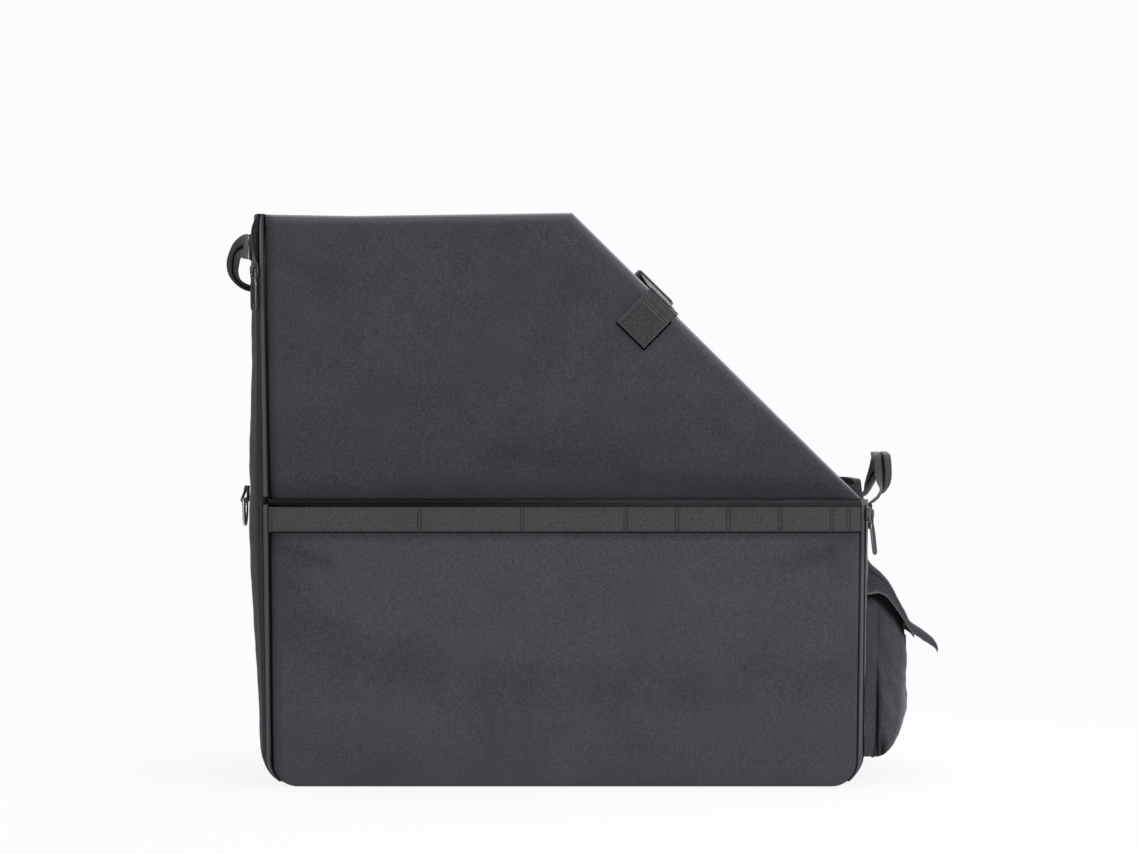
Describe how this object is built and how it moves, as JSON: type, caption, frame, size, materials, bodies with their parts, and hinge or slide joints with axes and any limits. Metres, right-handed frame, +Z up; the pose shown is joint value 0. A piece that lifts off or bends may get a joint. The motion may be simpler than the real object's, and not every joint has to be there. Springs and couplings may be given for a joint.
{
  "type": "folding bike storage cover",
  "caption": "Boxy canvas storage cover for a folded bicycle, with a sloping corner, fold-over front panel, corner zips, buckled strap, two handles and an end pocket.",
  "frame": {"origin": "middle of the base's underside, on the surface that the cover stands on", "axes": "+X from the tall end to the low end with the pocket, +Y from the front panel to the back panel, +Z up"},
  "size_m": [0.7101, 0.3066, 0.56],
  "materials": {
    "canvas": "matt grey-black woven canvas",
    "lining": "thin black lining cloth",
    "webbing": "flat woven webbing and zip tape",
    "stiffener": "plain board inside a cloth sleeve",
    "foam": "closed-cell foam sheet",
    "nickel": "nickel-plated, slightly worn",
    "black_plastic": "moulded acetal, satin",
    "hook_tape": "hook-and-loop tape"
  },
  "bodies": {
    "shell": {"base_cover": "canvas", "base_board": "stiffener", "back_lower_cover": "canvas", "back_lower_board": "stiffener", "back_upper_cover": "canvas", "back_upper_board": "stiffener", "back_fold_cloth": "lining", "back_row_webbing": "webbing", "back_strap_patch": "webbing", "back_strap_tail": "webbing", "left_end_cover": "canvas", "left_end_pad": "foam", "left_end_lining": "lining", "right_end_cover": "canvas", "right_end_pad": "foam", "right_end_lining": "lining", "left_back_corner": "canvas", "right_back_corner": "canvas", "left_zip_end_tape": "webbing", "right_zip_end_tape": "webbing", "left_handle_anchor_front": "webbing", "left_handle_anchor_back": "webbing", "right_handle_anchor_front": "webbing", "right_handle_anchor_back": "webbing", "ring_tab": "webbing", "pocket_body": "canvas", "pocket_loop_strip": "hook_tape"},
    "front_lower": {"front_lower_cover": "canvas", "front_lower_board": "stiffener", "front_fold_cloth": "lining", "front_row_webbing": "webbing", "left_zip_lower_tape": "webbing", "right_zip_front_tape": "webbing"},
    "front_upper": {"front_upper_cover": "canvas", "front_upper_board": "stiffener", "left_zip_upper_tape": "webbing", "front_strap_patch": "webbing", "front_strap_tail": "webbing"},
    "left_slider": {"left_zip_slider": "nickel"},
    "left_pull": {"left_zip_pull": "nickel"},
    "right_slider": {"right_zip_slider": "nickel"},
    "right_pull": {"right_zip_pull": "nickel"},
    "front_strap": {"front_strap": "webbing", "buckle_male": "black_plastic"},
    "prong_high": {"buckle_prong_high": "black_plastic"},
    "prong_low": {"buckle_prong_low": "black_plastic"},
    "back_strap": {"back_strap": "webbing", "buckle_female": "black_plastic"},
    "left_handle": {"left_handle": "webbing"},
    "right_handle": {"right_handle": "webbing"},
    "d_ring": {"d_ring": "nickel"},
    "pocket_flap": {"pocket_flap": "canvas", "flap_hook_strip": "hook_tape"}
  },
  "joints": [
    {"name": "front_drop", "type": "hinge", "parent": "shell", "child": "front_lower", "pos_m": [0, -0.15, 0], "axis": [1, 0, 0], "range_deg": [0, 88]},
    {"name": "front_fold", "type": "hinge", "parent": "front_lower", "child": "front_upper", "pos_m": [0, -0.153, 0.279], "axis": [1, 0, 0], "range_deg": [0, 175]},
    {"name": "left_slider_travel", "type": "slide", "parent": "front_upper", "child": "left_slider", "axis": [0.0149, 0, -0.9999], "range_m": [-0.039, 0.211]},
    {"name": "left_pull_swing", "type": "hinge", "parent": "left_slider", "child": "left_pull", "pos_m": [-0.29938, -0.14762, 0.50393], "axis": [-0.6342, 0.7731, -0.0094], "range_deg": [0, 150]},
    {"name": "right_slider_travel", "type": "slide", "parent": "front_lower", "child": "right_slider", "axis": [-0.0076, 0, -1], "range_m": [-0.003, 0.206]},
    {"name": "right_pull_swing", "type": "hinge", "parent": "right_slider", "child": "right_pull", "pos_m": [0.30338, -0.14654, 0.26596], "axis": [-0.444, -0.896, 0.0034], "range_deg": [-7, 143]},
    {"name": "front_strap_swing", "type": "hinge", "parent": "front_upper", "child": "front_strap", "pos_m": [0.09855, -0.1518, 0.47687], "axis": [-0.7134, 0, 0.7008], "range_deg": [-185, 0]},
    {"name": "prong_high_flex", "type": "hinge", "parent": "front_strap", "child": "prong_high", "pos_m": [0.08393, -0.004, 0.50266], "axis": [-0.7008, 0, -0.7134], "range_deg": [0, 9], "stiffness_Nm_per_rad": 1.27},
    {"name": "prong_low_flex", "type": "hinge", "parent": "front_strap", "child": "prong_low", "pos_m": [0.10605, -0.004, 0.48094], "axis": [0.7008, 0, 0.7134], "range_deg": [0, 9], "stiffness_Nm_per_rad": 1.27},
    {"name": "back_strap_swing", "type": "hinge", "parent": "shell", "child": "back_strap", "pos_m": [0.09855, 0.1518, 0.47687], "axis": [-0.7134, 0, 0.7008], "range_deg": [0, 185]},
    {"name": "left_handle_swing", "type": "hinge", "parent": "shell", "child": "left_handle", "pos_m": [-0.31134, 0, 0.5445], "axis": [0, 1, 0], "range_deg": [0, 120]},
    {"name": "right_handle_swing", "type": "hinge", "parent": "shell", "child": "right_handle", "pos_m": [0.31285, 0, 0.2765], "axis": [0, 1, 0], "range_deg": [0, 125]},
    {"name": "d_ring_swing", "type": "hinge", "parent": "shell", "child": "d_ring", "pos_m": [-0.31667, -0.06, 0.279], "axis": [0, 1, 0], "range_deg": [0, 110]},
    {"name": "pocket_flap_lift", "type": "hinge", "parent": "shell", "child": "pocket_flap", "pos_m": [0.30994, 0, 0.2235], "axis": [0, 1, 0], "range_deg": [-105, 2]}
  ],
  "couplings": [
    {"joint": "prong_low_flex", "follows": "prong_high_flex", "ratio": 1}
  ]
}
